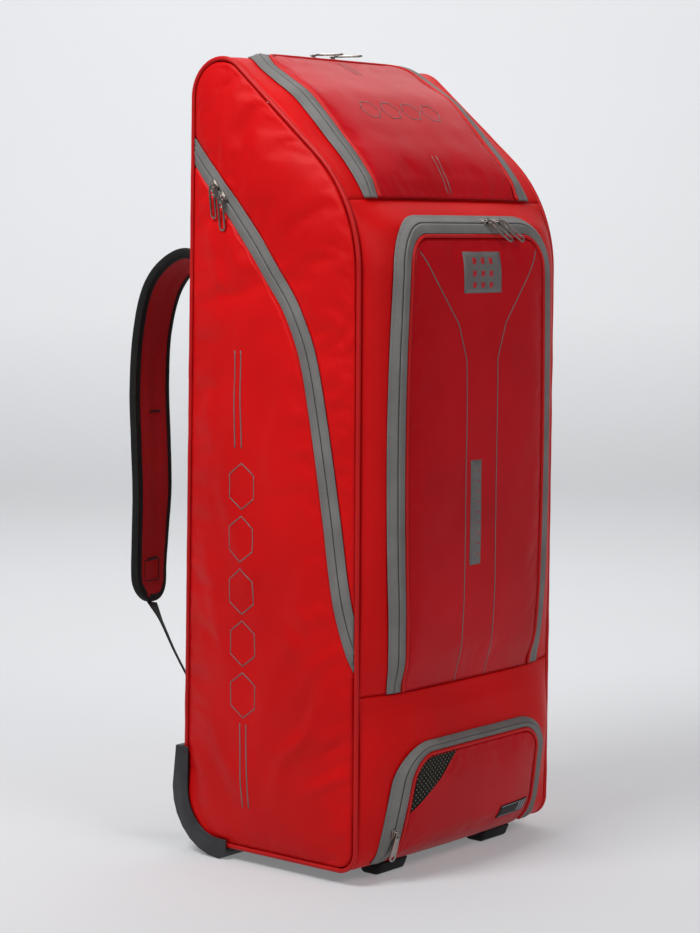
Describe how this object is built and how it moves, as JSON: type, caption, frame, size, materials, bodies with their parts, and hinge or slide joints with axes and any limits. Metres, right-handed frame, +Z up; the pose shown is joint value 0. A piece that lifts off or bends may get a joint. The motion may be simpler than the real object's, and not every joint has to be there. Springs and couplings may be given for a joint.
{
  "type": "cricket kit bag",
  "caption": "Tall soft duffle that stands on a moulded heel with wheels and front feet, with front and lid pockets, a long curved side zip and two padded back straps",
  "frame": {"origin": "centre of the bounding box in plan, on the floor under the wheels and feet", "axes": "+X to the right as the bag is seen from its front, +Y to the back where the straps are, +Z up"},
  "size_m": [0.4026, 0.4796, 0.9703],
  "materials": {
    "cloth": "satin coated polyester, woven",
    "coated": "glossier coated polyester",
    "piping": "wrapped cord piping",
    "tape": "woven zip tape with a coil",
    "metal": "plated zip hardware and axles",
    "webbing": "black woven webbing, label and base cloth",
    "mesh": "spacer mesh",
    "moulded": "satin moulded plastic",
    "rubber": "matte rubber",
    "hub": "moulded hub"
  },
  "bodies": {
    "bag": {"front_lower": "cloth", "front_upper": "cloth", "top_panel": "cloth", "back_panel": "cloth", "piping_left": "piping", "piping_right": "piping", "side_right": "cloth", "side_left_front": "cloth", "side_left_rear": "cloth", "side_zip_tape": "tape", "base_panel": "webbing", "tall_pocket_tape": "tape", "tall_pocket_piping": "piping", "tall_pocket_panel": "coated", "lower_pocket_tape": "tape", "lower_pocket_piping": "piping", "lower_pocket_panel": "coated", "lid_tape": "tape", "lid_piping": "piping", "lid_panel": "coated", "lower_pocket_vent": "webbing", "lower_pocket_label": "webbing", "side_zip_slider_1": "metal", "side_zip_pull_1": "metal", "side_zip_slider_2": "metal", "side_zip_pull_2": "metal", "tall_pocket_slider_1": "metal", "tall_pocket_pull_1": "metal", "tall_pocket_slider_2": "metal", "tall_pocket_pull_2": "metal", "lid_slider_1": "metal", "lid_pull_1": "metal", "lid_slider_2": "metal", "lid_pull_2": "metal", "lower_pocket_slider": "metal", "lower_pocket_pull": "metal", "strap_yoke": "webbing", "haul_handle": "webbing", "strap_pad_left": "cloth", "strap_pad_right": "cloth", "strap_mesh_left": "mesh", "strap_mesh_right": "mesh", "strap_binding_left": "webbing", "strap_binding_right": "webbing", "strap_webbing_left": "webbing", "strap_webbing_right": "webbing", "heel_guard": "moulded", "wheel_well_left": "moulded", "axle_left": "metal", "wheel_well_right": "moulded", "axle_right": "metal", "front_foot_left": "rubber", "front_foot_right": "rubber"},
    "wheel_left": {"wheel_tyre_left": "rubber", "wheel_hub_left": "hub"},
    "wheel_right": {"wheel_tyre_right": "rubber", "wheel_hub_right": "hub"}
  },
  "joints": [
    {"name": "wheel_left_spin", "type": "hinge", "parent": "bag", "child": "wheel_left", "pos_m": [-0.1477, 0.03945, 0.031], "axis": [1, 0, 0], "continuous": true},
    {"name": "wheel_right_spin", "type": "hinge", "parent": "bag", "child": "wheel_right", "pos_m": [0.1523, 0.03945, 0.031], "axis": [1, 0, 0], "continuous": true}
  ]
}
